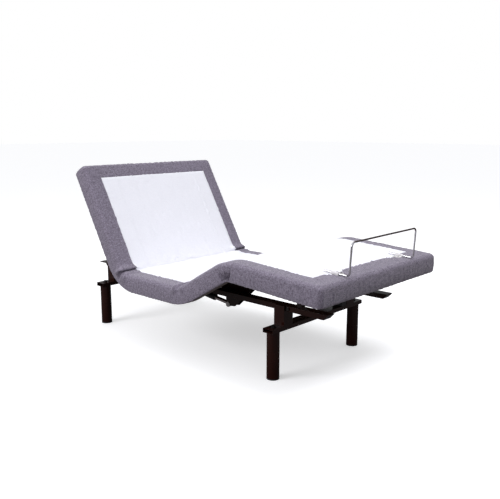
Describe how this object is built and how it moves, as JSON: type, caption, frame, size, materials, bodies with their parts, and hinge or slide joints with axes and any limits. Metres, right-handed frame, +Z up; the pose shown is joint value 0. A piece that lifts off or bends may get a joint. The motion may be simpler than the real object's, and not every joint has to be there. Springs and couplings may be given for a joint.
{
  "type": "adjustable bed base",
  "caption": "Upholstered bed base with lifting back, thigh and leg decks over a steel frame on round legs, with linear drives and a foot-end mattress retainer bar.",
  "frame": {"origin": "on the floor, under the middle of the bounding box with the decks lifted", "axes": "+X across the bed, to the right for someone at the foot looking to the head; +Y along the bed to the head end; +Z up"},
  "size_m": [0.952, 1.8033, 0.9394],
  "materials": {
    "black_paint": "gloss black powder coat",
    "black_plastic": "fine moulded texture",
    "white_plastic": "moulded, satin",
    "drive_housing": "satin moulded",
    "rod_steel": "ground",
    "zinc": "bright zinc plate",
    "black_zinc": "black zinc plate",
    "chrome": "polished",
    "plywood": "dark stained birch plywood",
    "cover_fabric": "heathered plain weave",
    "panel_fabric": "knitted non-slip panel",
    "circuit_board": "solder mask"
  },
  "bodies": {
    "base_frame": {"rail_left": "black_paint", "rail_right": "black_paint", "rail_end_caps": "black_plastic", "cross_member_foot": "black_paint", "cross_member_head": "black_paint", "post_foot_left": "black_paint", "post_foot_right": "black_paint", "post_head_left": "black_paint", "post_head_right": "black_paint", "leg_foot_left": "black_paint", "leg_foot_right": "black_paint", "leg_head_left": "black_paint", "leg_head_right": "black_paint", "leg_glides": "black_plastic", "frame_bolts": "black_zinc", "seat_bearers": "black_paint", "seat_board": "plywood", "seat_pad": "panel_fabric", "seat_skirts": "cover_fabric", "rail_brackets": "black_paint", "drive_cross_tubes": "black_paint", "drive_brackets": "black_paint", "pivot_pins": "zinc", "headboard_plates": "black_paint", "control_box_base": "black_plastic", "control_box_lid": "black_plastic", "control_circuit_board": "circuit_board", "power_inlet": "black_plastic"},
    "back_deck": {"back_board": "plywood", "back_pad": "panel_fabric", "back_skirts": "cover_fabric", "back_head_roll": "cover_fabric", "back_bars": "black_paint", "back_cross_bars": "black_paint", "back_plates": "black_paint"},
    "thigh_deck": {"thigh_board": "plywood", "thigh_pad": "panel_fabric", "thigh_skirts": "cover_fabric", "thigh_bars": "black_paint", "thigh_cross_bars": "black_paint", "thigh_plates": "black_paint", "knee_pins": "zinc"},
    "leg_deck": {"leg_board": "plywood", "leg_pad": "panel_fabric", "leg_skirts": "cover_fabric", "leg_foot_roll": "cover_fabric", "leg_bars": "black_paint", "leg_cross_bars": "black_paint", "leg_plates": "black_paint", "retainer_bar": "chrome", "retainer_clips": "white_plastic", "retainer_screws": "zinc"},
    "support_frame": {"support_arms": "black_paint", "support_arm_tube": "black_paint"},
    "foot_drive": {"foot_drive_motor": "drive_housing"},
    "foot_rod": {"foot_drive_rod": "rod_steel", "foot_drive_rod_pin": "zinc"},
    "head_drive": {"head_drive_motor": "drive_housing"},
    "head_rod": {"head_drive_rod": "rod_steel", "head_drive_rod_pin": "zinc"}
  },
  "joints": [
    {"name": "back_lift", "type": "hinge", "parent": "base_frame", "child": "back_deck", "pos_m": [0, 0.41855, 0.346], "axis": [1, 0, 0], "range_deg": [-60, 0]},
    {"name": "thigh_lift", "type": "hinge", "parent": "base_frame", "child": "thigh_deck", "pos_m": [0, -0.05645, 0.346], "axis": [-1, 0, 0], "range_deg": [-30, 0]},
    {"name": "knee_fold", "type": "hinge", "parent": "thigh_deck", "child": "leg_deck", "pos_m": [0, -0.36042, 0.5215], "axis": [1, 0, 0], "range_deg": [-33.6, 0.1]},
    {"name": "arm_swing", "type": "hinge", "parent": "base_frame", "child": "support_frame", "pos_m": [0, -0.59045, 0.335], "axis": [-1, 0, 0], "range_deg": [-50.1, 0.1]},
    {"name": "foot_drive_tilt", "type": "hinge", "parent": "base_frame", "child": "foot_drive", "pos_m": [-0.1925, 0.21655, 0.3], "axis": [1, 0, 0], "range_deg": [-0.1, 6]},
    {"name": "foot_drive_stroke", "type": "slide", "parent": "foot_drive", "child": "foot_rod", "axis": [0, -0.9919, -0.1269], "range_m": [-0.0499, 0.0002]},
    {"name": "head_drive_tilt", "type": "hinge", "parent": "base_frame", "child": "head_drive", "pos_m": [0.1925, 0.03655, 0.3], "axis": [1, 0, 0], "range_deg": [-1.3, 0.1]},
    {"name": "head_drive_stroke", "type": "slide", "parent": "head_drive", "child": "head_rod", "axis": [0, 0.9972, -0.0747], "range_m": [-0.0902, 0.0002]}
  ],
  "couplings": [
    {"joint": "knee_fold", "follows": "thigh_lift", "ratio": 1.1167},
    {"joint": "arm_swing", "follows": "thigh_lift", "ratio": 1.6657},
    {"joint": "foot_drive_tilt", "follows": "thigh_lift", "ratio": -0.19393},
    {"joint": "foot_drive_stroke", "follows": "thigh_lift", "m_per_rad": 0.094657},
    {"joint": "head_drive_tilt", "follows": "back_lift", "ratio": 0.019047},
    {"joint": "head_drive_stroke", "follows": "back_lift", "m_per_rad": 0.085685}
  ]
}
